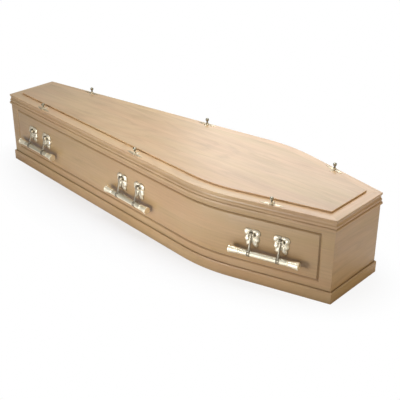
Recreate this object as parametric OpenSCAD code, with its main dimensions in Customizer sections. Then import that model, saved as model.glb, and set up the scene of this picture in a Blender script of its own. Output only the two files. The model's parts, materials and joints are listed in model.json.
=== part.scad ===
// Tapered wooden coffin with a moulded lid, a plinth, bar handles and lid screws.
// Millimetres, +Z up. X runs from the foot (-X) to the head (+X), the underside lies on Z = 0.

/* [Body] */
// Length over the outer faces of the end boards
body_len = 1894; // [1200:1:2300]
// Width over the outer faces at the foot end
foot_w = 254; // [180:1:400]
// Width where the two straight runs of each side would meet at the shoulder
shoulder_w = 547; // [400:1:800]
// Width over the outer faces at the head end
head_w = 294; // [200:1:500]
// Distance from the head end back to the shoulder
shoulder_back = 500; // [350:1:700]
// Radius of the bend at the shoulder, on the outer face
bend_r = 645; // [200:1:900]
// Height of the sides and ends
body_h = 293; // [200:1:450]
// Thickness of the side and end boards
board_t = 18; // [12:0.5:25]
// Thickness of the base board
base_t = 18; // [12:0.5:25]
// Gap left around the base board and around the lid board
board_gap = 0.1; // [0.05:0.05:1]

/* [Side groove] */
// Width of the V groove that outlines each long side
groove_w = 11; // [6:0.5:16]
// Depth of the groove
groove_d = 5.5; // [2:0.5:8]
// Distance from the top of the side down to the centre of the groove
groove_top = 22; // [12:1:60]
// Height of the centre of the lower groove above the underside
groove_low = 82; // [60:1:130]
// Distance from each end of the body to the upright grooves
groove_end = 50; // [30:1:120]

/* [Plinth] */
// Height of the plinth moulding
plinth_h = 48; // [30:1:80]
// How far the plinth stands out from the body
plinth_out = 7; // [4:0.5:15]
// Radius of the rounded top edge of the plinth
plinth_r = 5; // [2:0.5:7]
// Width of the quirk between the plinth's top edge and the body
quirk_w = 2; // [1:0.5:3]
// Depth of that quirk
quirk_d = 3; // [1:0.5:6]

/* [Lid] */
// Height of the lid's moulded edge
lid_edge_h = 46; // [30:1:70]
// How far the lid's top edge stands out from the body
lid_lip = 3; // [1:0.5:8]
// How far the rounded foot of the lid's edge stands out from the body
bead_out = 6; // [4:0.5:15]
// Radius of that foot's rounding
bead_r = 5.5; // [3:0.5:8]
// Radius of the cove above the foot
cove_r = 13; // [8:0.5:20]
// Deepest point of the cove, measured inward from the lid's top edge
cove_d = 3.5; // [2:0.5:8]
// Height of the cove's centre above the bottom of the lid's edge
cove_z = 30; // [22:0.5:34]
// Height of the quirk between foot and cove
lid_quirk_h = 2.5; // [1:0.5:5]
// Depth of that quirk, inward from the lid's top edge
lid_quirk_d = 1.5; // [1:0.5:5]
// Thickness of the lid board and of the flat border around it
lid_t = 18; // [12:0.5:25]
// Width of the flat border, from the lid's top edge to the lid board
border_w = 60; // [50:1:90]
// Distance from the lid's top edge to the raised panel
panel_inset = 47; // [30:1:80]
// Height of the raised panel above the border
panel_t = 7; // [3:0.5:15]

/* [Handles] */
// Distance from the head end to the middle of the head handles
handle_head = 247; // [200:1:400]
// Distance from the foot end to the middle of the foot handles
handle_foot = 247; // [200:1:400]
// Distance of the middle handles from the middle of the length, toward the head
handle_mid = 0; // [-150:1:150]
// Height of the handle pivots above the underside
pivot_z = 208; // [150:1:250]
// Distance of the pivots from the side
pivot_out = 12.5; // [10:0.5:20]
// Spacing of the two arms of a handle
arm_pitch = 116; // [80:1:180]
// Length of the bar
bar_len = 280; // [180:1:400]
// Diameter of the bar
bar_d = 23; // [14:0.5:32]
// Diameter of the flared caps at the bar's ends
cap_d = 31; // [16:0.5:36]
// Length of each cap
cap_len = 44; // [12:0.5:50]
// Length of the straight rim at a cap's end
cap_rim = 8; // [2:0.5:10]
// Distance of the bar's centre line from the side when it hangs
bar_out = 28; // [26:0.5:45]
// Drop of the bar's centre line below the pivots when it hangs
bar_drop = 71; // [45:0.5:80]
// Radius of each arm's curve
arm_r = 200; // [50:1:300]
// Thickness of an arm along its curve
arm_t = 7; // [4:0.5:10]
// Width of an arm
arm_w = 10; // [6:0.5:12]
// Thickness of a back plate
plate_t = 4; // [2:0.5:8]
// Width of a back plate over its upper lobes
plate_w = 66; // [50:1:90]
// Height of a back plate above the pivots
plate_up = 18; // [12:1:30]
// Height of a back plate below the pivots
plate_down = 54; // [30:1:70]
// Radius of a back plate's two upper lobes
lobe_r = 15; // [8:0.5:20]
// Radius of a back plate's two lower tails
tail_r = 9.5; // [4:0.5:12]
// Distance of each tail's centre from the plate's middle
tail_x = 14.5; // [6:0.5:16]
// Diameter of a pivot pin
pin_d = 6; // [4:0.5:8]
// Radial clearance of an arm's eye on its pin
pin_gap = 0.05; // [0.02:0.01:0.1]
// Outer diameter of an arm's eye and of the ears beside it
eye_d = 14; // [10:0.5:18]
// Thickness of each ear of a back plate
ear_t = 5; // [3:0.5:8]
// Play between an arm's eye and each ear
ear_gap = 0.25; // [0.1:0.05:1]
// Width of an arm's eye
eye_w = 12; // [8:0.5:16]
// Length of the heel that stops an arm on its back plate, below the pivot
heel_len = 12; // [8:0.5:16]
// Gap between the heel and the back plate when the handle hangs
heel_gap = 0.3; // [0.1:0.1:1]

/* [Lid screws] */
// Distance from the head end to the screws nearest to it
screw_head = 239; // [120:1:400]
// Distance from the foot end to the screws nearest to it
screw_foot = 282; // [120:1:400]
// Distance of the middle screws from the middle of the length, toward the head
screw_mid = 22; // [-150:1:150]
// Thickness of a screw's ornamental plate
rose_t = 3; // [1.5:0.5:5]
// Length of the plate's leaves along the lid
rose_len = 96; // [40:1:120]
// Reach of the plate's leaf toward the lid's edge
rose_out = 11; // [8:0.5:12]
// Reach of the plate's leaf toward the panel
rose_in = 26; // [10:1:32]
// Width of the leaves at the plate's middle
leaf_w = 15; // [8:1:17]
// Diameter of the plate's round middle
rose_d = 18; // [10:1:20]
// Height of the plate's coned middle
rose_h = 9; // [4:0.5:15]
// Diameter of the coned middle at its top
rose_top_d = 9; // [8:0.5:14]
// Diameter of the screw's shank
shank_d = 5; // [3:0.5:8]
// Radial clearance of the shank in the lid
shank_gap = 0.5; // [0.2:0.1:1]
// Depth of the screw in the side board
shank_in = 25; // [10:1:40]
// Diameter of the screw's neck
neck_d = 7; // [5:0.5:12]
// Diameter of the screw's ball
knob_d = 15; // [8:0.5:20]
// Height of the ball's centre above the lid's border
knob_z = 22; // [18:0.5:40]

/* [Hidden] */

$fn = 96;
FAR = 3000;
bend_steps = 36;

oak = [0.72, 0.58, 0.40];
oak_end = [0.62, 0.46, 0.30];
oak_top = [0.80, 0.68, 0.50];
brass = [0.86, 0.72, 0.38];

half_len = body_len / 2;
foot_a = atan2((shoulder_w - foot_w) / 2, body_len - shoulder_back);
head_a = atan2((shoulder_w - head_w) / 2, shoulder_back);
bend_a = foot_a + head_a;
tangent = bend_r * tan(bend_a / 2);
foot_run = (body_len - shoulder_back) / cos(foot_a) - tangent;
head_run = shoulder_back / cos(head_a) - tangent;
shoulder = [half_len - shoulder_back, -shoulder_w / 2];
bend_foot = shoulder - tangent * [cos(foot_a), -sin(foot_a)];
bend_c = bend_foot + bend_r * [sin(foot_a), cos(foot_a)];
foot_corner = [-half_len, -foot_w / 2];
head_corner = [half_len, -head_w / 2];
foot_mitre = -135 - foot_a / 2;
head_mitre = -45 + head_a / 2;
groove_high = body_h - groove_top;
lid_top = body_h + lid_edge_h;
handle_x = [handle_foot - half_len, handle_mid, half_len - handle_head];
screw_x = [screw_foot - half_len, screw_mid, half_len - screw_head];
screw_in = board_t / 2;
hole_d = shank_d + 2 * shank_gap;
pivot = [pivot_out, 0];
bar_c = [bar_out, -bar_drop];
arm_dir = (bar_c - pivot) / norm(bar_c - pivot);
arm_sag = sqrt(arm_r * arm_r - norm(bar_c - pivot) * norm(bar_c - pivot) / 4);
arm_c = (pivot + bar_c) / 2 + arm_sag * [arm_dir[1], -arm_dir[0]];

// Near side of the outline moved inward by d, from the foot to the head
function near_outline(d) = concat(
    [[d - half_len, (d - d * sin(foot_a)) / cos(foot_a) - foot_w / 2]],
    [for (i = [0:bend_steps]) bend_pt(bend_r - d, bend_a * i / bend_steps - foot_a)],
    [[half_len - d, (d - d * sin(head_a)) / cos(head_a) - head_w / 2]]
);
// Point at distance r from the centre of the shoulder bend, where the outline has direction a
function bend_pt(r, a) = bend_c + r * [sin(a), -cos(a)];
// Direction of the near side's outline at x, between its foot run and its head run
function turn_at(x) = max(-foot_a, min(head_a, asin(max(-1, min(1, (x - bend_c[0]) / bend_r)))));
// Distance of x from the bend, along the straight run it lies on
function run_at(x) = (x - bend_c[0] - bend_r * sin(turn_at(x))) / cos(turn_at(x));

// ---- Placing ----

// Puts a piece about the centre of the shoulder bend, +X pointing at the middle of the bend
module at_bend() {
    translate([bend_c[0], bend_c[1], 0])
    rotate([0, 0, bend_a / 2 - foot_a - 90])
    children();
}

// Moves a piece drawn at the near side's outer face, outward being -Y, to x along that side
module at_side(x) {
    at_bend()
    rotate([0, 0, turn_at(x) + foot_a - bend_a / 2])
    translate([bend_r, run_at(x), 0])
    rotate([0, 0, 90])
    children();
}

module at_handle(i) {
    at_side(handle_x[i])
    translate([0, 0, pivot_z])
    children();
}

module at_screw(i) {
    at_side(screw_x[i])
    translate([0, screw_in, lid_top])
    children();
}

module far_side() {
    mirror([0, 1, 0])
    children();
}

// ---- Sweeps around the body ----

// Sweeps a profile, x outward from the body and y up, along the near side and past both corners
module along_side() {
    at_bend() {
        rotate([0, 0, -bend_a / 2])
        rotate([90, 0, 0])
        linear_extrude(height = foot_run + 2 * border_w)
        translate([bend_r, 0])
        children();
        difference() {
            rotate([0, 0, -bend_a / 2])
            rotate_extrude(angle = 90, $fn = 720)
            translate([bend_r, 0])
            children();
            rotate([0, 0, bend_a / 2])
            translate([0, 0, -FAR / 2])
            cube(FAR);
        }
        rotate([0, 0, bend_a / 2])
        rotate([90, 0, 0])
        mirror([0, 0, 1])
        linear_extrude(height = head_run + 2 * border_w)
        translate([bend_r, 0])
        children();
    }
}

// Sweeps the same profile across the head end and past both corners
module across_head() {
    translate([half_len, -shoulder_w, 0])
    rotate([90, 0, 0])
    mirror([0, 0, 1])
    linear_extrude(height = 2 * shoulder_w)
    children();
}

// Half space on one side of a corner's mitre
module mitre_cut(corner, a, left) {
    translate([corner[0], corner[1], -FAR / 2])
    rotate([0, 0, a])
    translate([-FAR, left ? 0 : -2 * FAR, 0])
    cube([2 * FAR, 2 * FAR, FAR]);
}

// Level board of the coffin's outline moved inward by d
module plan_board(d, t) {
    near = near_outline(d);
    linear_extrude(height = t)
    polygon(concat(near, [for (i = [len(near) - 1:-1:0]) [near[i][0], -near[i][1]]]));
}

module side_piece() {
    difference() {
        along_side()
        children();
        mitre_cut(foot_corner, foot_mitre, false);
        mitre_cut(head_corner, head_mitre, true);
    }
}

module head_piece() {
    difference() {
        across_head()
        children();
        mitre_cut(head_corner, head_mitre, false);
        far_side()
        mitre_cut(head_corner, head_mitre, false);
    }
}

module foot_piece() {
    difference() {
        mirror([1, 0, 0])
        across_head()
        children();
        mitre_cut(foot_corner, foot_mitre, true);
        far_side()
        mitre_cut(foot_corner, foot_mitre, true);
    }
}

// ---- Body ----

module board_profile() {
    translate([-board_t, 0])
    square([board_t, body_h]);
}

// V section with its point inward
module groove_section() {
    polygon([[-groove_d, 0], [groove_d, -groove_w], [groove_d, groove_w]]);
}

// Half space past one of the groove's corners, its edge turned about that corner
module groove_cut(x, z, turn) {
    at_side(x)
    translate([0, 0, z])
    rotate([0, turn, 0])
    translate([0, -groove_w * 4, -FAR / 2])
    cube([FAR, groove_w * 8, FAR]);
}

module level_groove(z, up) {
    difference() {
        along_side()
        translate([0, z])
        groove_section();
        groove_cut(half_len - groove_end, z, up ? 45 : -45);
        groove_cut(groove_end - half_len, z, up ? 135 : -135);
    }
}

module upright_groove(x, head) {
    difference() {
        at_side(x)
        translate([0, 0, groove_low - groove_w])
        rotate([0, 0, -90])
        linear_extrude(height = groove_high - groove_low + 2 * groove_w)
        groove_section();
        groove_cut(x, groove_high, head ? -135 : -45);
        groove_cut(x, groove_low, head ? 135 : 45);
    }
}

module side_near() {
    color(oak)
    difference() {
        side_piece()
        board_profile();
        level_groove(groove_high, true);
        level_groove(groove_low, false);
        upright_groove(half_len - groove_end, true);
        upright_groove(groove_end - half_len, false);
        for (i = [0:2])
            at_screw(i)
            translate([0, 0, -lid_edge_h - shank_in])
            cylinder(d = shank_d, h = shank_in + 1);
    }
}

module side_far() {
    far_side()
    side_near();
}

module end_head() {
    color(oak_end)
    head_piece()
    board_profile();
}

module end_foot() {
    color(oak_end)
    foot_piece()
    board_profile();
}

module base() {
    color(oak_end)
    plan_board(board_t + board_gap, base_t);
}

// ---- Plinth ----

module plinth_profile() {
    difference() {
        union() {
            square([plinth_out, plinth_h - plinth_r]);
            square([plinth_out - plinth_r, plinth_h]);
            translate([plinth_out - plinth_r, plinth_h - plinth_r])
            circle(r = plinth_r);
        }
        translate([-plinth_r, 0])
        square([plinth_r, plinth_h]);
        translate([-quirk_w, plinth_h - quirk_d])
        square([2 * quirk_w, 2 * quirk_d]);
    }
}

module plinth_near() {
    color(oak)
    side_piece()
    plinth_profile();
}

module plinth_far() {
    far_side()
    plinth_near();
}

module plinth_head() {
    color(oak_end)
    head_piece()
    plinth_profile();
}

module plinth_foot() {
    color(oak_end)
    foot_piece()
    plinth_profile();
}

// ---- Lid ----

module lid_profile() {
    translate([0, body_h]) {
        difference() {
            union() {
                translate([-board_t, 0])
                square([board_t + lid_lip, lid_edge_h]);
                translate([lid_lip - border_w, lid_edge_h - lid_t])
                square([border_w, lid_t]);
            }
            translate([lid_lip - cove_d + cove_r, cove_z])
            circle(r = cove_r);
            translate([lid_lip - lid_quirk_d, bead_r])
            square([2 * lid_quirk_d, bead_r + lid_quirk_h]);
        }
        translate([-board_t, 0])
        square([board_t + bead_out, bead_r]);
        translate([bead_out - bead_r, bead_r])
        circle(r = bead_r);
    }
}

module lid_edge_near() {
    color(oak_top)
    difference() {
        side_piece()
        lid_profile();
        for (i = [0:2])
            at_screw(i)
            translate([0, 0, -lid_edge_h - 1])
            cylinder(d = hole_d, h = lid_edge_h + 2);
    }
}

module lid_edge_far() {
    far_side()
    lid_edge_near();
}

module lid_edge_head() {
    color(oak_top)
    head_piece()
    lid_profile();
}

module lid_edge_foot() {
    color(oak_top)
    foot_piece()
    lid_profile();
}

module lid_board() {
    color(oak_top)
    translate([0, 0, lid_top - lid_t])
    plan_board(border_w - lid_lip + board_gap, lid_t);
}

module lid_panel() {
    color(oak_top)
    translate([0, 0, lid_top])
    plan_board(panel_inset - lid_lip, panel_t);
}

// ---- Handles, drawn about the pivot height at the near side's face ----

module bar() {
    color(brass)
    translate([0, -bar_out, -bar_drop])
    rotate([0, 90, 0]) {
        cylinder(d = bar_d, h = bar_len, center = true);
        for (turn = [0, 180])
            rotate([0, turn, 0])
            bar_cap();
    }
}

module bar_cap() {
    translate([0, 0, bar_len / 2 - cap_len])
    cylinder(d1 = bar_d, d2 = cap_d, h = cap_len - cap_rim);
    translate([0, 0, bar_len / 2 - cap_rim])
    cylinder(d = cap_d, h = cap_rim);
}

// Side view of an arm, x outward from the side and y up
module arm_curve() {
    reach = 2 * arm_r;
    to_pivot = (pivot - arm_c) / arm_r;
    to_bar = (bar_c - arm_c) / arm_r;
    intersection() {
        translate(arm_c)
        difference() {
            circle(r = arm_r + arm_t / 2);
            circle(r = arm_r - arm_t / 2);
        }
        polygon([
            arm_c, arm_c + reach * to_bar, arm_c + reach * (to_bar + to_pivot), arm_c + reach * to_pivot
        ]);
    }
}

module arm(s) {
    color(brass)
    translate([s * arm_pitch / 2, 0, 0])
    difference() {
        union() {
            rotate([90, 0, -90])
            linear_extrude(height = arm_w, center = true)
            arm_curve();
            translate([0, -pivot_out, 0])
            rotate([0, 90, 0])
            cylinder(d = eye_d, h = eye_w, center = true);
            translate([-eye_w / 2, -pivot_out, -heel_len])
            cube([eye_w, pivot_out - plate_t - heel_gap, heel_len]);
        }
        translate([0, -pivot_out, 0])
        rotate([0, 90, 0])
        cylinder(r = pin_d / 2 + pin_gap, h = 2 * eye_w, center = true);
        translate([0, -bar_out, -bar_drop])
        rotate([0, 90, 0])
        cylinder(d = bar_d, h = 2 * arm_w, center = true);
    }
}

module plate_outline() {
    lobe_x = plate_w / 2 - lobe_r;
    lobe_y = plate_up - lobe_r;
    tail_y = tail_r - plate_down;
    for (s = [-1, 1]) {
        translate([s * lobe_x, lobe_y])
        circle(r = lobe_r);
        translate([s * tail_x, tail_y])
        circle(r = tail_r);
    }
    polygon([
        [-lobe_x, lobe_y + lobe_r * 0.8], [-lobe_x - lobe_r * 0.6, lobe_y - lobe_r * 0.6],
        [-tail_x - tail_r * 0.6, tail_y], [tail_x + tail_r * 0.6, tail_y],
        [lobe_x + lobe_r * 0.6, lobe_y - lobe_r * 0.6], [lobe_x, lobe_y + lobe_r * 0.8]
    ]);
}

module plate(s) {
    ear_x = eye_w / 2 + ear_gap;
    color(brass)
    translate([s * arm_pitch / 2, 0, 0]) {
        rotate([90, 0, 0])
        linear_extrude(height = plate_t)
        plate_outline();
        for (t = [-1, 1])
            translate([t * (ear_x + ear_t / 2), 0, 0]) {
                translate([0, -pivot_out, 0])
                rotate([0, 90, 0])
                cylinder(d = eye_d, h = ear_t, center = true);
                translate([-ear_t / 2, -pivot_out, -eye_d / 2])
                cube([ear_t, pivot_out, eye_d]);
            }
        translate([0, -pivot_out, 0])
        rotate([0, 90, 0])
        cylinder(d = pin_d, h = 2 * ear_x + ear_t, center = true);
    }
}

module bar_near_foot() {
    at_handle(0)
    bar();
}

module arm_near_foot_a() {
    at_handle(0)
    arm(-1);
}

module arm_near_foot_b() {
    at_handle(0)
    arm(1);
}

module plate_near_foot_a() {
    at_handle(0)
    plate(-1);
}

module plate_near_foot_b() {
    at_handle(0)
    plate(1);
}

module bar_near_mid() {
    at_handle(1)
    bar();
}

module arm_near_mid_a() {
    at_handle(1)
    arm(-1);
}

module arm_near_mid_b() {
    at_handle(1)
    arm(1);
}

module plate_near_mid_a() {
    at_handle(1)
    plate(-1);
}

module plate_near_mid_b() {
    at_handle(1)
    plate(1);
}

module bar_near_head() {
    at_handle(2)
    bar();
}

module arm_near_head_a() {
    at_handle(2)
    arm(-1);
}

module arm_near_head_b() {
    at_handle(2)
    arm(1);
}

module plate_near_head_a() {
    at_handle(2)
    plate(-1);
}

module plate_near_head_b() {
    at_handle(2)
    plate(1);
}

module bar_far_foot() {
    far_side()
    bar_near_foot();
}

module arm_far_foot_a() {
    far_side()
    arm_near_foot_a();
}

module arm_far_foot_b() {
    far_side()
    arm_near_foot_b();
}

module plate_far_foot_a() {
    far_side()
    plate_near_foot_a();
}

module plate_far_foot_b() {
    far_side()
    plate_near_foot_b();
}

module bar_far_mid() {
    far_side()
    bar_near_mid();
}

module arm_far_mid_a() {
    far_side()
    arm_near_mid_a();
}

module arm_far_mid_b() {
    far_side()
    arm_near_mid_b();
}

module plate_far_mid_a() {
    far_side()
    plate_near_mid_a();
}

module plate_far_mid_b() {
    far_side()
    plate_near_mid_b();
}

module bar_far_head() {
    far_side()
    bar_near_head();
}

module arm_far_head_a() {
    far_side()
    arm_near_head_a();
}

module arm_far_head_b() {
    far_side()
    arm_near_head_b();
}

module plate_far_head_a() {
    far_side()
    plate_near_head_a();
}

module plate_far_head_b() {
    far_side()
    plate_near_head_b();
}

// ---- Lid screws, drawn about the lid's border ----

module rose() {
    color(brass)
    difference() {
        union() {
            linear_extrude(height = rose_t)
            polygon([[-rose_len / 2, 0], [0, -leaf_w / 2], [rose_len / 2, 0], [0, leaf_w / 2]]);
            linear_extrude(height = rose_t)
            polygon([[0, -rose_out], [leaf_w / 2, 0], [0, rose_in], [-leaf_w / 2, 0]]);
            cylinder(d1 = rose_d, d2 = rose_top_d, h = rose_h);
        }
        translate([0, 0, -1])
        cylinder(d = hole_d, h = rose_h + 2);
    }
}

module screw() {
    color(brass) {
        translate([0, 0, -lid_edge_h - shank_in])
        cylinder(d = shank_d, h = lid_edge_h + shank_in + rose_h);
        translate([0, 0, rose_h])
        cylinder(d = neck_d, h = knob_z - rose_h);
        translate([0, 0, knob_z])
        sphere(d = knob_d);
    }
}

module rose_near_foot() {
    at_screw(0)
    rose();
}

module screw_near_foot() {
    at_screw(0)
    screw();
}

module rose_near_mid() {
    at_screw(1)
    rose();
}

module screw_near_mid() {
    at_screw(1)
    screw();
}

module rose_near_head() {
    at_screw(2)
    rose();
}

module screw_near_head() {
    at_screw(2)
    screw();
}

module rose_far_foot() {
    far_side()
    rose_near_foot();
}

module screw_far_foot() {
    far_side()
    screw_near_foot();
}

module rose_far_mid() {
    far_side()
    rose_near_mid();
}

module screw_far_mid() {
    far_side()
    screw_near_mid();
}

module rose_far_head() {
    far_side()
    rose_near_head();
}

module screw_far_head() {
    far_side()
    screw_near_head();
}

base();
side_near();
side_far();
end_head();
end_foot();
plinth_near();
plinth_far();
plinth_head();
plinth_foot();
lid_edge_near();
lid_edge_far();
lid_edge_head();
lid_edge_foot();
lid_board();
lid_panel();
bar_near_foot();
arm_near_foot_a();
arm_near_foot_b();
plate_near_foot_a();
plate_near_foot_b();
bar_near_mid();
arm_near_mid_a();
arm_near_mid_b();
plate_near_mid_a();
plate_near_mid_b();
bar_near_head();
arm_near_head_a();
arm_near_head_b();
plate_near_head_a();
plate_near_head_b();
bar_far_foot();
arm_far_foot_a();
arm_far_foot_b();
plate_far_foot_a();
plate_far_foot_b();
bar_far_mid();
arm_far_mid_a();
arm_far_mid_b();
plate_far_mid_a();
plate_far_mid_b();
bar_far_head();
arm_far_head_a();
arm_far_head_b();
plate_far_head_a();
plate_far_head_b();
rose_near_foot();
screw_near_foot();
rose_near_mid();
screw_near_mid();
rose_near_head();
screw_near_head();
rose_far_foot();
screw_far_foot();
rose_far_mid();
screw_far_mid();
rose_far_head();
screw_far_head();
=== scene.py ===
"""Looks of the wooden coffin: oak veneer and mouldings, brass bar handles and lid screws."""
import json
import math

import bmesh
import bpy
from mathutils import Matrix, Vector


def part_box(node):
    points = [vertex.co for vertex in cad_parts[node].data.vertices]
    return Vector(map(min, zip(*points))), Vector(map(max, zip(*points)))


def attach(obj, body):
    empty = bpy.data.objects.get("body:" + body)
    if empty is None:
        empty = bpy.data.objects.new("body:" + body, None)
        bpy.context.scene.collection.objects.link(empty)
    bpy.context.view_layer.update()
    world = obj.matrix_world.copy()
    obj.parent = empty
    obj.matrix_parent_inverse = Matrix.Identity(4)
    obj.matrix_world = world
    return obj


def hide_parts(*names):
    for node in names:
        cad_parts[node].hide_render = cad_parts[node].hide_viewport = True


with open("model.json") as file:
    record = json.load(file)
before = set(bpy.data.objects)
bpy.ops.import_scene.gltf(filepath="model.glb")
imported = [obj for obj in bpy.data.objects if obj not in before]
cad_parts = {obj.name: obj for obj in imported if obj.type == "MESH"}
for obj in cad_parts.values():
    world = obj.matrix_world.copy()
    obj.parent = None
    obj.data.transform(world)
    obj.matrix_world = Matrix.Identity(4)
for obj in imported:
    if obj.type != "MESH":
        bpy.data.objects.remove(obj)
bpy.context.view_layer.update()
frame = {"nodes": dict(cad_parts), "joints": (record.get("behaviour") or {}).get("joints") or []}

MM = 0.001
SIDES = ("near", "far")
PLACES = ("foot", "mid", "head")

# Camera, from the far right of the near side and a little above
CAMERA_AT = Vector((2.2367, -2.2565, 1.6519))
CAMERA_LOOKS_AT = Vector((0.1034, 0.0840, 0.0433))
CAMERA_LENS_MM = 72.58
SENSOR_MM = 36

# Radius of the bend at the shoulder, on the side boards' outer face
BEND_R = 645 * MM

# Boards: how round their edges are, the lid border's height and how much paler its flat top is
# painted, as painted sheen
EDGE_ROUND = 0.7 * MM
BORDER_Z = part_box("lid_edge_near")[1].z
BORDER_SHEEN = 0.13
OAK_PALE = (0.62, 0.405, 0.195)
# Lid colour, paler than the other boards': a painted sheen of the lid's top
OAK_LID_PAINTED_SHEEN = (0.66, 0.435, 0.218)
OAK_BROWN = (0.36, 0.215, 0.098)

# Handles, millimetres, about the pivot height at the side's face: x along the side, y inward
PIVOT_OUT = 12.5
ARM_PITCH = 116
BAR_LEN = 280
BAR_R = 11.5
BAR_OUT = 28
BAR_DROP = 71
CAP_R = 15.5
CAP_LEN = 44
CAP_RIM = 8
CAP_ROUND = 2.0
CAP_STEP = 1.5
BEAD_LEN = 4
LATTICE_DEEP = 0.9
LATTICE_STARTS = 10
LATTICE_LEAN = 0.72
ARM_R = 200
EYE_R = 7
EYE_W = 12
PIN_R = 3
EAR_T = 5
EAR_GAP = 0.25
HEEL_LEN = 12
HEEL_GAP = 0.3
PLATE_T = 4
PLATE_EDGE = 1.0

# Lid screws, millimetres, about the lid's border: x along the side, y inward
ROSE_LEN = 96
ROSE_OUT = 11
ROSE_IN = 26
ROSE_TOP = 9
NECK_R = 3.5
KNOB_R = 7.5
KNOB_Z = 22

# Half the floor's side, and how far below the coffin it lies
FLOOR_HALF = 30.0
FLOOR_DROP = 0.2 * MM


# ---- Node helpers ----

class Nodes:
    """Builds a material's node tree, one call a node."""

    def __init__(self, name):
        self.material = bpy.data.materials.new(name)
        self.material.use_nodes = True
        self.tree = self.material.node_tree
        self.tree.nodes.clear()
        self.output = self.add("ShaderNodeOutputMaterial")
        self.shader = self.add("ShaderNodeBsdfPrincipled")
        self.link(self.shader.outputs[0], self.output.inputs["Surface"])

    def add(self, kind, **settings):
        node = self.tree.nodes.new(kind)
        for key, value in settings.items():
            setattr(node, key, value)
        return node

    def link(self, source, target):
        self.tree.links.new(source, target)

    def feed(self, socket, value):
        if isinstance(value, bpy.types.NodeSocket):
            self.link(value, socket)
        else:
            socket.default_value = value

    def math(self, operation, a, b=0.0, c=0.0):
        node = self.add("ShaderNodeMath", operation=operation)
        for socket, value in zip(node.inputs, (a, b, c)):
            self.feed(socket, value)
        return node.outputs[0]

    def vector_math(self, operation, a, b):
        node = self.add("ShaderNodeVectorMath", operation=operation)
        self.feed(node.inputs[0], a)
        self.feed(node.inputs[1], b)
        return node.outputs[0]

    def split(self, vector):
        node = self.add("ShaderNodeSeparateXYZ")
        self.link(vector, node.inputs[0])
        return node.outputs

    def join(self, x, y, z):
        node = self.add("ShaderNodeCombineXYZ")
        for socket, value in zip(node.inputs, (x, y, z)):
            self.feed(socket, value)
        return node.outputs[0]

    def noise(self, vector, scale, detail=2.0, roughness=0.5):
        node = self.add("ShaderNodeTexNoise")
        self.link(vector, node.inputs["Vector"])
        node.inputs["Scale"].default_value = scale
        node.inputs["Detail"].default_value = detail
        node.inputs["Roughness"].default_value = roughness
        return node.outputs["Fac"]

    def spread(self, value, low, high, to_low=0.0, to_high=1.0):
        """Takes the range from low to high to the one from to_low to to_high, clamped."""
        node = self.add("ShaderNodeMapRange")
        self.link(value, node.inputs["Value"])
        ends = {"From Min": low, "From Max": high, "To Min": to_low, "To Max": to_high}
        for key, number in ends.items():
            node.inputs[key].default_value = number
        return node.outputs[0]

    def mix(self, factor, a, b, blend="MIX"):
        node = self.add("ShaderNodeMix", data_type="RGBA", blend_type=blend)
        self.feed(node.inputs["Factor"], factor)
        self.feed(node.inputs["A"], (*a, 1.0) if isinstance(a, tuple) else a)
        self.feed(node.inputs["B"], (*b, 1.0) if isinstance(b, tuple) else b)
        return node.outputs["Result"]

    def blend(self, first, second):
        """Shows a mix of two shaders; returns the socket that takes the share of the second."""
        node = self.add("ShaderNodeMixShader")
        self.link(first, node.inputs[1])
        self.link(second, node.inputs[2])
        self.link(node.outputs[0], self.output.inputs["Surface"])
        return node.inputs[0]

    def occlusion(self, distance):
        node = self.add("ShaderNodeAmbientOcclusion", samples=8)
        node.inputs["Distance"].default_value = distance
        return node.outputs["AO"]

    def bump(self, height, distance):
        node = self.add("ShaderNodeBump")
        node.inputs["Distance"].default_value = distance
        self.link(height, node.inputs["Height"])
        return node.outputs[0]


# ---- Materials ----

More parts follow.
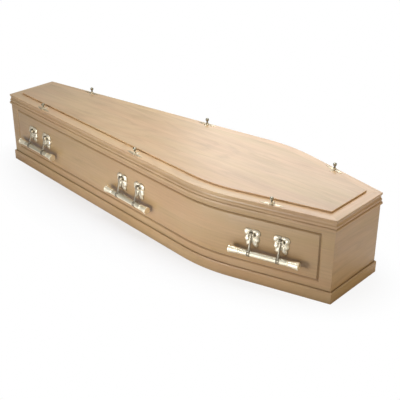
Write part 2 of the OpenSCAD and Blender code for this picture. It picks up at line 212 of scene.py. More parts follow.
def oak(name, shift, pale, figure, painted_shade_mm, painted_shade_strength, border):
    """Crown-cut oak veneer under satin lacquer. The attribute "grain" runs in metres along the
    grain, across the face and into the board; shift moves the figure, so no two boards match.
    Painted shade: corners, grooves and the sides behind the bars darken by painted_shade_strength
    within painted_shade_mm.
    border is a painted sheen: how much paler the lid's flat border is drawn than the moulded edge
    below it."""
    n = Nodes(name)
    grain = n.add("ShaderNodeAttribute", attribute_name="grain").outputs["Vector"]
    at = n.vector_math("ADD", grain, shift)
    along, across, deep = n.split(at)
    slow = n.join(n.math("MULTIPLY", along, 1.3), n.math("MULTIPLY", across, 7.0), deep)
    sway = n.math("SUBTRACT", n.noise(slow, 1.0, 3.0), 0.5)
    fibre_at = n.join(n.math("MULTIPLY", along, 0.03), across, deep)

    # Growth rings: long arches where the cut leaves the heart of the log
    leaf = n.math("PINGPONG", n.math("ADD", across, n.math("MULTIPLY", sway, 0.06)), 0.17)
    rise = n.math("ADD", n.math("MULTIPLY", along, 0.030), n.math("MULTIPLY", sway, 0.10))
    radius = n.math("SQRT", n.math("ADD", n.math("POWER", leaf, 2.0), n.math("POWER", rise, 2.0)))
    wobble = n.math("MULTIPLY", n.math("SUBTRACT", n.noise(fibre_at, 160.0, 2.0), 0.5), 0.006)
    rings = n.math("MULTIPLY", n.math("ADD", radius, wobble), 75.0)
    ring = n.math("MULTIPLY", n.math("PINGPONG", rings, 0.5), 2.0)
    patchy = n.spread(n.noise(slow, 3.0, 2.0), 0.30, 0.65)
    early = n.math("MULTIPLY", n.spread(ring, 0.40, 1.0), patchy)

    # Pores: short dark dashes along the fibres, thickest in the early wood
    pore_at = n.join(n.math("MULTIPLY", along, 0.028), across, deep)
    pores = n.spread(n.noise(pore_at, 1500.0, 1.0), 0.60, 0.74)
    pores = n.math("MULTIPLY", pores, n.math("MULTIPLY_ADD", early, 0.75, 0.25))
    streaks = n.spread(n.noise(fibre_at, 190.0, 4.0, 0.62), 0.36, 0.70)

    # Broader bands, clouds and the reddish and olive casts of the veneer
    band_at = n.join(n.math("MULTIPLY", along, 0.10), across, deep)
    bands = n.spread(n.noise(band_at, 42.0, 2.0), 0.40, 0.66)
    broad = n.spread(n.noise(slow, 1.6, 2.0), 0.35, 0.68)
    blush = n.spread(n.noise(n.vector_math("ADD", slow, (3.0, 7.0, 2.0)), 1.5, 2.0), 0.42, 0.64)
    olive = n.spread(n.noise(n.vector_math("ADD", slow, (5.0, 2.0, 9.0)), 1.8, 2.0), 0.46, 0.66)

    colour = n.mix(broad, pale, tuple(0.86 * a + 0.14 * b for a, b in zip(pale, OAK_BROWN)))
    colour = n.mix(n.math("MULTIPLY", early, 0.26 * figure), colour, OAK_BROWN)
    colour = n.mix(n.math("MULTIPLY", streaks, 0.20), colour, OAK_BROWN)
    colour = n.mix(n.math("MULTIPLY", bands, 0.16 * figure), colour, OAK_BROWN)
    colour = n.mix(n.math("MULTIPLY", blush, 0.55), colour, (1.0, 0.90, 0.90), "MULTIPLY")
    colour = n.mix(n.math("MULTIPLY", olive, 0.55), colour, (0.92, 0.95, 0.82), "MULTIPLY")
    colour = n.mix(n.math("MULTIPLY", pores, 0.45), colour, tuple(0.45 * b for b in OAK_BROWN))
    # Painted shade: darker toward corners, grooves and the boards behind the bars, by ambient
    # occlusion
    painted_shade = n.spread(n.occlusion(painted_shade_mm * MM), 0.50, 0.97, 1.0, 0.0)
    painted_shade = n.math("MULTIPLY", painted_shade, painted_shade_strength)
    colour = n.mix(painted_shade, colour, tuple(0.55 * b for b in OAK_BROWN))
    # Painted sheen: the lid's flat border is drawn paler than its moulded edge
    if border:
        _, _, height = n.split(n.add("ShaderNodeTexCoord").outputs["Object"])
        flat = n.spread(height, BORDER_Z - 4 * MM, BORDER_Z - 1 * MM)
        colour = n.mix(flat, colour, (1.0 + border,) * 3, "MULTIPLY")
    n.link(colour, n.shader.inputs["Base Color"])

    rough = n.math("MULTIPLY_ADD", streaks, 0.08, 0.36)
    rough = n.math("MULTIPLY_ADD", pores, 0.15, rough)
    n.link(rough, n.shader.inputs["Roughness"])
    height = n.math("MULTIPLY_ADD", streaks, 0.25, n.math("MULTIPLY", pores, -1.0))
    n.link(n.bump(height, 0.08 * MM), n.shader.inputs["Normal"])
    n.shader.inputs["Coat Weight"].default_value = 0.55
    n.shader.inputs["Coat Roughness"].default_value = 0.30
    return n.material


def brass(name, bright, dark, rough, hollow_mm, lattice=False):
    """Plated brass with painted shade: dark near walls by ambient occlusion, hollow_mm is how near
    a wall has to be. With lattice it is also duller by the attribute "pressed", a painted dim
    reflection."""
    n = Nodes(name)
    at = n.add("ShaderNodeTexCoord").outputs["Object"]
    cloud = n.spread(n.noise(at, 60.0, 3.0), 0.35, 0.70)
    fine = n.noise(at, 900.0, 3.0, 0.6)
    # Painted shade: the colour goes toward the dark one where walls are near, by ambient occlusion
    shade = n.spread(n.occlusion(hollow_mm * MM), 0.25, 0.95)
    colour = n.mix(shade, dark, bright)
    colour = n.mix(n.math("MULTIPLY", cloud, 0.20), colour, tuple(0.78 * b for b in bright))
    if lattice:
        # Painted dim reflection: the bar's upper half, where the lattice is, goes duller
        lattice_top_shade = n.add("ShaderNodeAttribute", attribute_name="lattice_top_shade").outputs["Fac"]
        colour = n.mix(lattice_top_shade, colour, tuple(0.68 * b for b in bright))
    n.link(colour, n.shader.inputs["Base Color"])
    worn_and_shaded = n.math("MULTIPLY_ADD", cloud, 0.10, rough)
    worn_and_shaded = n.math("MULTIPLY_ADD", n.math("SUBTRACT", 1.0, shade), 0.20, worn_and_shaded)
    n.link(n.math("MULTIPLY_ADD", fine, 0.06, worn_and_shaded), n.shader.inputs["Roughness"])
    n.link(n.bump(fine, 0.02 * MM), n.shader.inputs["Normal"])
    n.shader.inputs["Metallic"].default_value = 1.0
    return n.material


# ---- Mesh helpers ----

def make_object(name, bm, material):
    mesh = bpy.data.meshes.new(name)
    bm.normal_update()
    bm.to_mesh(mesh)
    bm.free()
    mesh.materials.append(material)
    piece = bpy.data.objects.new(name, mesh)
    bpy.context.scene.collection.objects.link(piece)
    return piece


def skin(bm, rings):
    """Joins closed rings of equal length, given as lists of Vector, into a capped tube."""
    rows = [[bm.verts.new(point) for point in ring] for ring in rings]
    count = len(rows[0])
    for low, high in zip(rows, rows[1:]):
        for i in range(count):
            j = (i + 1) % count
            bm.faces.new((low[i], low[j], high[j], high[i]))
    bm.faces.new(rows[0][::-1])
    bm.faces.new(rows[-1])


def clean(bm):
    """Joins the points that coincide, in millimetres, and turns the faces outward."""
    bmesh.ops.remove_doubles(bm, verts=bm.verts, dist=0.005)
    bmesh.ops.recalc_face_normals(bm, faces=bm.faces)


def to_metres(bm, placing):
    bmesh.ops.transform(bm, matrix=placing @ Matrix.Scale(MM, 4), verts=bm.verts)


def shade_smooth(piece, angle):
    """Smooth shading, sharp where faces meet at more than angle, in degrees."""
    piece.data.shade_smooth()
    piece.data.set_sharp_from_angle(angle=math.radians(angle))


def arc_points(centre, radius, start, end, steps):
    """Points of an arc from start to end, in degrees."""
    for i in range(steps + 1):
        angle = math.radians(start + (end - start) * i / steps)
        yield centre[0] + radius * math.cos(angle), centre[1] + radius * math.sin(angle)


def ease(t):
    """Smooth step from 0 at 0 to 1 at 1."""
    t = min(1.0, max(0.0, t))
    return t * t * (3 - 2 * t)


# ---- Where things are ----

def joint_of(side, place):
    name = f"handle_{side}_{place}_swing"
    return next(j for j in frame["joints"] if j["name"] == name)


def run_of(side, place):
    """Direction of the side at a handle, toward the head, and its outward normal."""
    axis = Vector(joint_of(side, place)["axis"]).normalized()
    along = axis if axis.x > 0 else -axis
    outward = along.cross(Vector((0, 0, 1)))
    if (outward.y > 0) != (side == "far"):
        outward = -outward
    return along, outward


def placing(side, origin, along, outward):
    """Local x along the side, y inward and z up; turned about z on the far side."""
    x_axis = along if side == "near" else -along
    columns = Matrix((x_axis, -outward, Vector((0, 0, 1)))).transposed()
    return Matrix.Translation(origin) @ columns.to_4x4()


def handle_placing(side, place):
    along, outward = run_of(side, place)
    pivot = Vector(joint_of(side, place)["pos_m"])
    return placing(side, pivot - outward * PIVOT_OUT * MM, along, outward)


def screw_placing(side, place):
    along, outward = run_of(side, place)
    low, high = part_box(f"screw_{side}_{place}")
    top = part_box("lid_board")[1].z
    origin = Vector(((low.x + high.x) / 2, (low.y + high.y) / 2, top))
    return placing(side, origin, along, outward)


# ---- Wood ----

def side_lines():
    """Centre of the near side's bend and the directions of its two runs, from the handles."""
    foot_along, foot_out = run_of("near", "foot")
    head_along, head_out = run_of("near", "head")
    foot_pt = Vector(joint_of("near", "foot")["pos_m"]) - foot_out * PIVOT_OUT * MM
    head_pt = Vector(joint_of("near", "head")["pos_m"]) - head_out * PIVOT_OUT * MM
    # The centre lies one bend radius inside both lines
    rows = Matrix(((foot_out.x, foot_out.y), (head_out.x, head_out.y)))
    foot_distance = foot_out.to_2d().dot(foot_pt.to_2d())
    head_distance = head_out.to_2d().dot(head_pt.to_2d())
    distances = Vector((foot_distance, head_distance))
    centre = rows.inverted() @ (distances - Vector((BEND_R, BEND_R)))
    return centre, foot_along, foot_out, head_along, head_out


CENTRE, FOOT_ALONG, FOOT_OUT, HEAD_ALONG, HEAD_OUT = side_lines()
FOOT_TURN = math.atan2(FOOT_OUT.x, -FOOT_OUT.y)
HEAD_TURN = math.atan2(HEAD_OUT.x, -HEAD_OUT.y)


def side_place(x, y):
    """Distance along the near side and outward from it, for a point of the near half."""
    away = Vector((x, y)) - CENTRE
    turn = math.atan2(away.x, -away.y)
    if turn <= FOOT_TURN:
        start = FOOT_TURN * BEND_R
        return start + away.dot(FOOT_ALONG.to_2d()), away.dot(FOOT_OUT.to_2d()) - BEND_R
    if turn >= HEAD_TURN:
        start = HEAD_TURN * BEND_R
        return start + away.dot(HEAD_ALONG.to_2d()), away.dot(HEAD_OUT.to_2d()) - BEND_R
    return turn * BEND_R, away.length - BEND_R


def grain_on_side(p):
    along, outward = side_place(p.x, -abs(p.y))
    return along, p.z, outward


def grain_on_side_border(p):
    along, outward = side_place(p.x, -abs(p.y))
    return along, outward + p.z, 0.0


def grain_on_end(p):
    return p.y, p.z, p.x


def grain_on_end_border(p):
    return p.y, abs(p.x) + p.z, 0.0


def grain_on_top(p):
    return p.x, p.y, p.z


def board(node, grain, material):
    """The CAD node's own shape with eased edges, and its grain direction in an attribute."""
    source = frame["nodes"][node]
    bm = bmesh.new()
    bm.from_mesh(source.data)
    bmesh.ops.remove_doubles(bm, verts=bm.verts, dist=0.001 * MM)
    bmesh.ops.dissolve_limit(bm, angle_limit=math.radians(0.2), verts=bm.verts, edges=bm.edges)
    piece = make_object(node + "_oak", bm, material)
    shade_smooth(piece, 20)
    ease_edges = piece.modifiers.new("ease", "BEVEL")
    ease_edges.width = EDGE_ROUND
    ease_edges.segments = 2
    ease_edges.limit_method = "ANGLE"
    ease_edges.angle_limit = math.radians(28)
    ease_edges.harden_normals = True
    ease_edges.use_clamp_overlap = True
    bpy.context.view_layer.update()
    evaluated = piece.evaluated_get(bpy.context.evaluated_depsgraph_get())
    eased = bpy.data.meshes.new_from_object(evaluated)
    piece.modifiers.clear()
    piece.data = eased
    layer = eased.attributes.new("grain", "FLOAT_VECTOR", "POINT")
    layer.data.foreach_set("vector", [c for v in eased.vertices for c in grain(v.co)])
    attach(piece, "body")
    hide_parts(node)


def make_wood():
    # How the grain runs, where the figure starts and how strong it is
    pieces = {
        "side_near": (grain_on_side, (0.2, -0.17, 0.0), 0.7),
        "side_far": (grain_on_side, (3.1, -0.12, 0.0), 0.7),
        "end_head": (grain_on_end, (6.4, -0.10, 0.0), 0.98),
        "end_foot": (grain_on_end, (9.2, -0.16, 0.0), 0.98),
        "base": (grain_on_top, (12.3, 0.05, 0.0), 1.2),
        "plinth_near": (grain_on_side, (15.1, 0.30, 0.0), 0.84),
        "plinth_far": (grain_on_side, (18.6, 0.22, 0.0), 0.84),
        "plinth_head": (grain_on_end, (21.2, 0.35, 0.0), 0.98),
        "plinth_foot": (grain_on_end, (24.9, 0.31, 0.0), 0.98),
        "lid_edge_near": (grain_on_side_border, (27.3, 0.05, 0.0), 1.19),
        "lid_edge_far": (grain_on_side_border, (30.4, 0.11, 0.0), 1.19),
        "lid_edge_head": (grain_on_end_border, (33.8, 0.02, 0.0), 1.19),
        "lid_edge_foot": (grain_on_end_border, (36.5, 0.07, 0.0), 1.19),
        "lid_board": (grain_on_top, (39.7, 0.0, 0.0), 1.2),
        "lid_panel": (grain_on_top, (42.2, 0.03, 0.0), 1.2),
    }
    for node, (grain, shift, figure) in pieces.items():
        # Painted shade by ambient occlusion: painted_shade_mm is how far it reaches,
        # painted_shade_strength how dark it gets
        pale, painted_shade_mm, painted_shade_strength = OAK_PALE, 30, 0.36
        # The lid pieces take the paler colour, a painted sheen
        if node.startswith("lid"):
            pale, painted_shade_mm, painted_shade_strength = OAK_LID_PAINTED_SHEEN, 3, 0.18
        elif node.startswith("side"):
            # Painted shade reaches further out and gets darker on the sides, as the bars' shadow
            # behind them
            painted_shade_mm, painted_shade_strength = 36, 0.62
        # Painted sheen on the flat tops of the lid edges
        border = BORDER_SHEEN if node.startswith("lid_edge") else 0.0
        material = oak(node + "_wood", shift, pale, figure, painted_shade_mm, painted_shade_strength, border)
        board(node, grain, material)


# ---- Handles ----

def circle_ring(count, point):
    """Ring of points, point(cosine, sine) giving each one."""
    return [Vector(point(math.cos(2 * math.pi * i / count), math.sin(2 * math.pi * i / count)))
            for i in range(count)]


def bar_radius(x):
    """Radius of the bar at x from its middle: shaft, flared caps with rims, beads by the caps."""
    end = BAR_LEN / 2 - abs(x)
    shaft_r, flare_r = BAR_R - 0.4, CAP_R - 1.6
    flare_end = CAP_LEN - BEAD_LEN
    if end < CAP_ROUND:
        return CAP_R - CAP_ROUND + math.sqrt(max(0.0, CAP_ROUND ** 2 - (CAP_ROUND - end) ** 2))
    if end < CAP_RIM - CAP_STEP:
        return CAP_R
    if end < CAP_RIM:
        return CAP_R + (flare_r - CAP_R) * ease((end - CAP_RIM + CAP_STEP) / CAP_STEP)
    if end < flare_end:
        return shaft_r + (flare_r - shaft_r) * (1 - ease((end - CAP_RIM) / (flare_end - CAP_RIM)))
    if end < CAP_LEN:
        return BAR_R - 0.5 + 1.3 * math.sin(math.pi * (end - flare_end) / BEAD_LEN)
    return shaft_r


def shaft_share(x):
    """1 on the shaft, fading to 0 at the caps."""
    return ease((BAR_LEN / 2 - CAP_LEN - 2 - abs(x)) / 3)


def make_bar(side, place, material):
    bm = bmesh.new()
    stations = sorted({round(-BAR_LEN / 2 + i, 3) for i in range(BAR_LEN + 1)}
                      | {s * (BAR_LEN / 2 - e) for s in (-1, 1) for e in (0.15, 0.5, 1.5)})
    rings = []
    for x in stations:
        radius = bar_radius(x)
        clear_of_arms = ease((abs(abs(x) - ARM_PITCH / 2) - 7) / 2)
        knurl = LATTICE_DEEP * shaft_share(x) * clear_of_arms

        def point(c, s, x=x, radius=radius, knurl=knurl):
            turn = math.atan2(s, c)
            # Pressed lattice on the upper half of the shaft
            round_turn, lean = LATTICE_STARTS * turn, LATTICE_LEAN * x
            weave = 0.5 + 0.5 * math.sin(round_turn + lean) * math.sin(round_turn - lean)
            above = ease((s + 0.05) / 0.35)
            r = radius - knurl * above * weave
            return x, -BAR_OUT + r * c, -BAR_DROP + r * s
        rings.append(circle_ring(72, point))
    skin(bm, rings)
    clean(bm)
    # Painted dim reflection: marks the upper half of the shaft, where the lattice is
    lattice_top_shade = bm.verts.layers.float.new("lattice_top_shade")
    for v in bm.verts:
        above = ease(((v.co.z + BAR_DROP) / BAR_R + 0.15) / 0.35)
        v[lattice_top_shade] = shaft_share(v.co.x) * above
    to_metres(bm, handle_placing(side, place))
    piece = make_object(f"bar_{side}_{place}_brass", bm, material)
    shade_smooth(piece, 40)
    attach(piece, f"handle_{side}_{place}")
    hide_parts(f"bar_{side}_{place}")


def section_ring(centre, normal, side_dir, half_w, half_t):
    """Rounded-rectangle section: half_w along side_dir, half_t along normal."""
    count, power = 28, 2.6
    ring = []
    for i in range(count):
        angle = 2 * math.pi * i / count
        c, s = math.cos(angle), math.sin(angle)
        cx = math.copysign(abs(c) ** (2 / power), c)
        sy = math.copysign(abs(s) ** (2 / power), s)
        ring.append(centre + side_dir * half_w * cx + normal * half_t * sy)
    return ring


def arm_arc():
    """Centre of the arm's curve and its angles at the pivot and at the bar, in the y-z plane."""
    pivot, bar = Vector((-PIVOT_OUT, 0)), Vector((-BAR_OUT, -BAR_DROP))
    middle, span = (pivot + bar) / 2, bar - pivot
    sag = math.sqrt(ARM_R ** 2 - (span.length / 2) ** 2)
    across = Vector((span.y, -span.x)).normalized()
    centre = middle - across * sag
    if centre.x < middle.x:
        centre = middle + across * sag
    first = math.atan2(pivot.y - centre.y, pivot.x - centre.x)
    last = math.atan2(bar.y - centre.y, bar.x - centre.x)
    if last < first:
        last += 2 * math.pi
    return centre, first, last


def ring_on_x(bm, centre, stations, count=40):
    """Turned ring about a line along x through centre: stations are (x, radius)."""
    x0, y0, z0 = centre
    skin(bm, [circle_ring(count, lambda c, s, x=x, r=r: (x0 + x, y0 + r * c, z0 + r * s))
              for x, r in stations])


def both_ways(half):
    """Stations (x, radius) from the end at -x to the middle, and the same mirrored after them."""
    return half + [(-x, r) for x, r in reversed(half)]


def arm_x(side, letter):
    """Where an arm and its plate stand along the bar: a toward the foot, b toward the head."""
    toward_head = 1 if letter == "b" else -1
    return toward_head * ARM_PITCH / 2 * (1 if side == "near" else -1)


def make_arm(side, place, letter, material):
    x0 = arm_x(side, letter)
    bm = bmesh.new()
    centre, first, last = arm_arc()
    rings = []
    steps = 28
    for i in range(steps + 1):
        t = i / steps
        angle = first + (last - first) * (0.04 + 0.84 * t)
        out = Vector((0, math.cos(angle), math.sin(angle)))
        at = Vector((x0, centre.x, centre.y)) + out * ARM_R
        half_w = 3.4 + 1.5 * math.cos(math.pi * t) ** 2
        half_t = 2.6 + 0.8 * math.cos(math.pi * t) ** 2
        rings.append(section_ring(at, out, Vector((1, 0, 0)), half_w, half_t))
    skin(bm, rings)
    # Eye round the pin and clasp round the bar, each the same toward both ends
    half_eye = [(-EYE_W / 2, EYE_R - 1.2), (-EYE_W / 2 + 0.5, EYE_R - 0.4),
                (-EYE_W / 2 + 1.4, EYE_R - 0.1), (-EYE_W / 2 + 2.4, EYE_R - 0.1),
                (-EYE_W / 2 + 3.0, EYE_R - 0.8)]
    ring_on_x(bm, (x0, -PIVOT_OUT, 0), both_ways(half_eye))
    half_clasp = [(-6.5, BAR_R + 0.1), (-6.2, BAR_R + 0.9), (-5.2, BAR_R + 1.3),
                  (-4.2, BAR_R + 0.9), (-3.6, BAR_R + 0.6)]
    ring_on_x(bm, (x0, -BAR_OUT, -BAR_DROP), both_ways(half_clasp), 56)
    # Heel that stops the arm on its plate
    heel_from, heel_to, steps = -PIVOT_OUT, -PLATE_T - HEEL_GAP, 8
    heel = []
    for k in range(steps + 1):
        y = heel_from + (heel_to - heel_from) * k / steps
        at = Vector((x0, y, -HEEL_LEN / 2 - 0.5))
        heel.append(section_ring(at, Vector((0, 0, 1)), Vector((1, 0, 0)),
                                 EYE_W / 2 - 0.6, HEEL_LEN / 2 - 0.5 - 0.3 * k / steps))
    skin(bm, heel)
    clean(bm)
    to_metres(bm, handle_placing(side, place))
    piece = make_object(f"arm_{side}_{place}_{letter}_brass", bm, material)
    shade_smooth(piece, 40)
    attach(piece, f"handle_{side}_{place}")
    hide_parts(f"arm_{side}_{place}_{letter}")


def loop_point(points, t):
    """Point at t from 0 to 1 on the closed Catmull-Rom curve through points."""
    count = len(points)
    spot = (t % 1.0) * count
    i, u = int(spot), spot % 1.0
    a, b, c, d = (Vector(points[(i + k) % count]) for k in (-1, 0, 1, 2))
    square, cube = 2 * a - 5 * b + 4 * c - d, 3 * b - a - 3 * c + d
    return 0.5 * (2 * b + (c - a) * u + square * u ** 2 + cube * u ** 3)


# Right half of a back plate's outline from its crest to the fork between its tails, millimetres
PLATE_HALF = [
    (0, 13), (6, 17), (14, 17.8), (23, 16.5), (30, 11), (32.5, 3), (31, -6), (27.5, -11),
    (28, -17), (30, -23), (28.5, -30), (24.5, -35), (24, -40), (25, -46), (21, -53), (13.5, -53.5),
    (8, -48), (4, -42), (0, -39),
]
PLATE_HEART = Vector((0, -10))


def plate_height(share, at):
    """Relief of a back plate at a share of the way from its heart to its outline."""
    turn = math.atan2(at.x, at.y - PLATE_HEART.y)
    dish = ease((share - 0.22) / 0.36)
    brim = 1 - 0.8 * ease((share - 0.80) / 0.22)
    crown = 1.8 + 5.6 * dish * brim
    # Flutes that spread from the heart like the ribs of a leaf
    fluted = ease((share - 0.35) / 0.25) * (1 - ease((share - 0.93) / 0.07))
    flute = 0.6 * math.cos(11 * turn) * fluted
    # Valleys between the two tails and through the crest
    below = abs(abs(turn) - math.pi)
    fork = 4.6 * math.exp(-(below / 0.14) ** 2) * ease((share - 0.2) / 0.3)
    crest = 3.6 * math.exp(-(turn / 0.22) ** 2) * ease((share - 0.2) / 0.3)
    # Folds that part the upper lobes from the leaves below
    fold = 3.0 * math.exp(-((abs(turn) - 1.66) / 0.17) ** 2) * ease((share - 0.45) / 0.4)
    return max(1.2, crown + flute - fork - crest - fold)


def make_plate(side, place, letter, material):
    bm = bmesh.new()
    outline = PLATE_HALF + [(-x, z) for x, z in PLATE_HALF[-2:0:-1]]
    count, steps = 150, 22
    edge = [loop_point(outline, i / count) for i in range(count)]
    rings = [[Vector((p.x, y, p.y)) for p in edge] for y in (0, -PLATE_EDGE)]
    for k in range(steps + 1):
        share = 1 - k / steps * 0.995
        ring = []
        for p in edge:
            at = PLATE_HEART + (p - PLATE_HEART) * share
            round_edge = 0.985 if k == 0 else 1.0
            at = PLATE_HEART + (at - PLATE_HEART) * round_edge
            ring.append(Vector((at.x, -plate_height(share, at), at.y)))
        rings.append(ring)
    skin(bm, rings)
    for m in (-1, 1):
        # Ears that carry the pin
        ear_x = m * (EYE_W / 2 + EAR_GAP + EAR_T / 2)
        ring_on_x(bm, (ear_x, -PIVOT_OUT, 0), [
            (-EAR_T / 2, EYE_R - 1.6), (-EAR_T / 2 + 0.7, EYE_R - 0.5), (0, EYE_R - 0.1),
            (EAR_T / 2 - 0.7, EYE_R - 0.5), (EAR_T / 2, EYE_R - 1.6)])
        web = [section_ring(Vector((ear_x, y, 0)), Vector((0, 0, 1)), Vector((1, 0, 0)),
                            EAR_T / 2 - 0.2, EYE_R - 0.4 + grow) for y, grow in
               ((-PIVOT_OUT, 0), (-PIVOT_OUT / 2, 0), (-3, 1.5), (0, 3))]
        skin(bm, web)
    pin_end = EYE_W / 2 + EAR_T / 2
    ring_on_x(bm, (0, -PIVOT_OUT, 0), [(-pin_end, PIN_R), (pin_end, PIN_R)])
    clean(bm)
    along_bar = Matrix.Translation((arm_x(side, letter) * MM, 0, 0))
    to_metres(bm, handle_placing(side, place) @ along_bar)
    piece = make_object(f"plate_{side}_{place}_{letter}_brass", bm, material)
    shade_smooth(piece, 50)
    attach(piece, "body")
    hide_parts(f"plate_{side}_{place}_{letter}")


def make_handles():
    # Each brass's second colour is its painted shade near walls
    plated = brass("plated_brass", (0.92, 0.84, 0.66), (0.09, 0.065, 0.035),
                   rough=0.36, hollow_mm=10)
    # Bars: the upper half of the shaft painted duller, a painted dim reflection
    lattice_top_shade = brass("bar_brass", (1.0, 0.92, 0.71), (0.22, 0.17, 0.11),
                    rough=0.40, hollow_mm=7, lattice=True)
    # Arms: the brass painted much darker, a painted dark reflection
    worn_and_shaded = brass("arm_brass_painted_dark", (0.34, 0.30, 0.225), (0.045, 0.035, 0.022),
                 rough=0.28, hollow_mm=9)
    for side in SIDES:
        for place in PLACES:
            make_bar(side, place, lattice_top_shade)
            for letter in "ab":
                make_arm(side, place, letter, worn_and_shaded)
                make_plate(side, place, letter, plated)


# ---- Lid screws ----

def turned(bm, profile):
    """Turned shape about the z axis: profile is (radius, height) from its foot up."""
    skin(bm, [circle_ring(40, lambda c, s, r=r, z=z: (r * c, r * s, z)) for r, z in profile])


def make_rose(side, place, material):
    """Four-pointed leaf plate with a coned collar for the screw's neck."""
    bm = bmesh.new()
    for m in (-1, 1):
        flat_leaf(bm, (m * 2, 0), (m * ROSE_LEN / 2, 0), half_width=7.5, crown=4.2)
    flat_leaf(bm, (0, -1), (0, -ROSE_OUT), half_width=5.0, crown=3.0)
    flat_leaf(bm, (0, 1), (0, ROSE_IN), half_width=7.5, crown=4.2)
    profile = [(8.6, 0.0), (8.6, 1.2), (8.0, 2.2), (6.6, 2.8), (5.8, 4.2), (5.2, 6.0), (4.9, 7.2),
               (4.9, 8.2), (4.5, ROSE_TOP), (3.7, ROSE_TOP)]
    turned(bm, profile)
    clean(bm)
    to_metres(bm, screw_placing(side, place))
    piece = make_object(f"rose_{side}_{place}_brass", bm, material)
    shade_smooth(piece, 40)
    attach(piece, "body")
    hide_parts(f"rose_{side}_{place}")


def flat_leaf(bm, foot, point, half_width, crown):
    """Leaf lying on z = 0 from its foot to its point, with a raised midrib and a lobed edge."""
    foot, point = Vector(foot), Vector(point)
    ahead = (point - foot).normalized()
    normal = Vector((-ahead.y, ahead.x))
    steps, across_count = 30, 10
    rings = []
    for i in range(steps + 1):
        t = i / steps
        at = foot.lerp(point, t)
        swell = math.sin(math.pi * (0.10 + 0.88 * t) ** 0.75) if t < 1 else 0.0
        half = max(0.15, half_width * swell * (1 - 0.12 * (0.5 + 0.5 * math.cos(6 * math.pi * t))))
        high = 0.7 + (crown - 0.7) * math.sin(math.pi * min(1.0, 0.3 + 0.68 * t))
        ring = []
        for k in range(across_count + 1):
            w = -1 + 2 * k / across_count
            ridge = 0.55 * (1 - abs(w)) + 0.45 * (1 - w * w)
            ridge -= 0.10 * math.cos(3 * math.pi * w) * (1 - w * w)
            p = at + normal * half * w
            ring.append(Vector((p.x, p.y, 0.6 + (high - 0.6) * max(0.0, ridge))))
        for w in (1, -1):
            p = at + normal * half * w
            ring.append(Vector((p.x, p.y, 0)))
        rings.append(ring)
    skin(bm, rings)


def make_screw(side, place, material):
    """Neck and ball of a lid screw, with a collar under the ball and a button on top."""
    low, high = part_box(f"screw_{side}_{place}")
    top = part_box("lid_board")[1].z
    foot = (low.z - top) / MM
    profile = [(2.5, foot), (2.5, ROSE_TOP - 0.5), (NECK_R, ROSE_TOP - 0.4),
               (NECK_R, ROSE_TOP + 0.6), (2.9, ROSE_TOP + 1.2), (2.7, 11.2), (2.7, 12.2),
               (3.4, 12.8), (4.2, 13.3), (4.4, 13.9), (4.2, 14.5), (3.9, 15.0)]
    start = math.degrees(math.asin((15.4 - KNOB_Z) / KNOB_R))
    profile += list(arc_points((0, KNOB_Z), KNOB_R, start, 78, 22))
    profile += [(1.2, KNOB_Z + KNOB_R - 0.05), (0.2, KNOB_Z + KNOB_R)]
    bm = bmesh.new()
    turned(bm, profile)
    clean(bm)
    to_metres(bm, screw_placing(side, place))
    piece = make_object(f"screw_{side}_{place}_brass", bm, material)
    shade_smooth(piece, 40)
    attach(piece, "body")
    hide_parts(f"screw_{side}_{place}")


def make_lid_screws():
    # Each brass's second colour is its painted shade near walls
    plated = brass("rose_brass", (0.60, 0.51, 0.36), (0.26, 0.20, 0.12), rough=0.50, hollow_mm=3)
    aged = brass("aged_brass", (0.32, 0.29, 0.21), (0.07, 0.06, 0.04), rough=0.30, hollow_mm=4)
    for side in SIDES:
        for place in PLACES:
            make_rose(side, place, plated)
            make_screw(side, place, aged)


# ---- Stage, light and camera ----

def make_floor():
    """White paper. Away from the coffin, where no shadow falls, the camera sees it plain white.
    Less of the lamps' light comes back up to the coffin than white paper would return."""
    n = Nodes("floor_paper")
    at = n.add("ShaderNodeTexCoord").outputs["Object"]
    mottle = n.spread(n.noise(at, 3.0, 3.0), 0.3, 0.7)
    rays = n.add("ShaderNodeLightPath").outputs
    seen = rays["Is Camera Ray"]
    seen_or_mirrored = n.math("MAXIMUM", seen, rays["Is Glossy Ray"])
    paper = n.mix(mottle, (0.93, 0.93, 0.925), (0.95, 0.95, 0.945))
    colour = n.mix(seen_or_mirrored, (0.60, 0.60, 0.60), paper)
    n.link(colour, n.shader.inputs["Base Color"])
    n.shader.inputs["Roughness"].default_value = 0.9
    x, y, _ = n.split(at)
    oval = n.join(n.math("MULTIPLY", x, 0.45), y, 0.0)
    away = n.add("ShaderNodeVectorMath", operation="LENGTH")
    n.link(oval, away.inputs[0])
    plain = n.add("ShaderNodeEmission")
    plain.inputs["Strength"].default_value = 1.0
    n.link(n.math("MULTIPLY", seen, n.spread(away.outputs["Value"], 0.28, 0.52, 0.70, 1.0)),
           n.blend(n.shader.outputs[0], plain.outputs[0]))
    bm = bmesh.new()
    bmesh.ops.create_grid(bm, x_segments=1, y_segments=1, size=FLOOR_HALF)
    floor = make_object("floor", bm, n.material)
    floor.location.z = -FLOOR_DROP


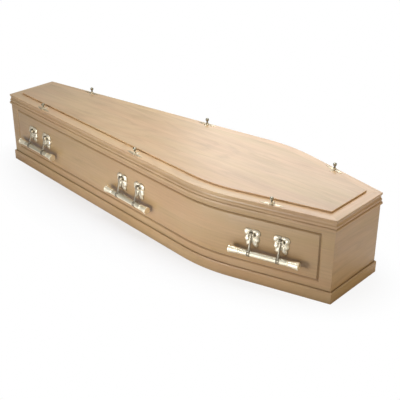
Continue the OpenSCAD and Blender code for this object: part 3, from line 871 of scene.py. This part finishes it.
def make_world(low, high, mirrored):
    """White to the camera; to everything else a studio, dim at eye level and lighter overhead,
    with mirrored as what reflections see on top of that."""
    world = bpy.data.worlds.new("studio")
    bpy.context.scene.world = world
    world.use_nodes = True
    tree = world.node_tree
    tree.nodes.clear()
    output = tree.nodes.new("ShaderNodeOutputWorld")
    mixer = tree.nodes.new("ShaderNodeMixShader")
    seen = tree.nodes.new("ShaderNodeBackground")
    seen.inputs["Color"].default_value = (1, 1, 1, 1)
    seen.inputs["Strength"].default_value = 1.0
    light = tree.nodes.new("ShaderNodeBackground")
    light.inputs["Color"].default_value = (1.0, 0.985, 0.96, 1)
    toward = tree.nodes.new("ShaderNodeTexCoord")
    parts = tree.nodes.new("ShaderNodeSeparateXYZ")
    rise = tree.nodes.new("ShaderNodeMapRange")
    rise.interpolation_type = "SMOOTHSTEP"
    for key, number in (("From Min", 0.0), ("From Max", 0.6), ("To Min", low), ("To Max", high)):
        rise.inputs[key].default_value = number
    path = tree.nodes.new("ShaderNodeLightPath")
    level = tree.nodes.new("ShaderNodeMath")
    level.operation = "MULTIPLY_ADD"
    level.inputs[1].default_value = mirrored
    tree.links.new(toward.outputs["Generated"], parts.inputs[0])
    tree.links.new(parts.outputs["Z"], rise.inputs["Value"])
    tree.links.new(path.outputs["Is Glossy Ray"], level.inputs[0])
    tree.links.new(rise.outputs["Result"], level.inputs[2])
    tree.links.new(level.outputs[0], light.inputs["Strength"])
    tree.links.new(path.outputs["Is Camera Ray"], mixer.inputs[0])
    tree.links.new(light.outputs[0], mixer.inputs[1])
    tree.links.new(seen.outputs[0], mixer.inputs[2])
    tree.links.new(mixer.outputs[0], output.inputs["Surface"])


def add_lamp(name, at, aim, size, watts, colour):
    """Area lamp: size is a disk's diameter or a rectangle's width and height."""
    lamp = bpy.data.lights.new(name, "AREA")
    if isinstance(size, tuple):
        lamp.shape = "RECTANGLE"
        lamp.size, lamp.size_y = size
    else:
        lamp.shape = "DISK"
        lamp.size = size
    lamp.energy = watts
    lamp.color = colour
    holder = bpy.data.objects.new(name, lamp)
    holder.location = at
    holder.rotation_euler = (Vector(aim) - Vector(at)).to_track_quat("-Z", "Y").to_euler()
    holder.visible_camera = False
    bpy.context.scene.collection.objects.link(holder)


def make_light():
    make_world(low=0.04, high=0.10, mirrored=0.38)
    # Low strip in front of the near side, two soft boxes behind, one overhead, one past the head
    add_lamp("key", (0.0, -1.95, 0.32), (0.05, -0.24, 0.18), (1.1, 0.34), 20.5, (1.0, 1.01, 1.05))
    add_lamp("back", (-0.75, 2.50, 1.80), (0.30, 0.0, 0.34), (2.4, 1.3), 18.5, (0.94, 1.0, 1.10))
    add_lamp("back_left", (-2.80, 2.40, 1.70), (-0.40, 0.0, 0.34), (2.0, 1.1), 3.5,
             (1.0, 0.88, 0.72))
    add_lamp("top", (0.25, 0.1, 1.9), (0.25, 0.0, 0.34), 1.0, 26.5, (0.95, 1.01, 1.13))
    add_lamp("end", (3.2, 0.5, 0.7), (0.9, 0.0, 0.2), 1.2, 17.5, (1.0, 0.84, 0.56))


def make_camera():
    camera = bpy.data.cameras.new("camera")
    camera.lens = CAMERA_LENS_MM
    camera.sensor_width = SENSOR_MM
    holder = bpy.data.objects.new("camera", camera)
    holder.location = CAMERA_AT
    holder.rotation_euler = (CAMERA_LOOKS_AT - CAMERA_AT).to_track_quat("-Z", "Y").to_euler()
    bpy.context.scene.collection.objects.link(holder)
    bpy.context.scene.camera = holder


make_camera()
make_wood()
make_handles()
make_lid_screws()
make_floor()
make_light()
bpy.context.scene.view_settings.view_transform = "Standard"
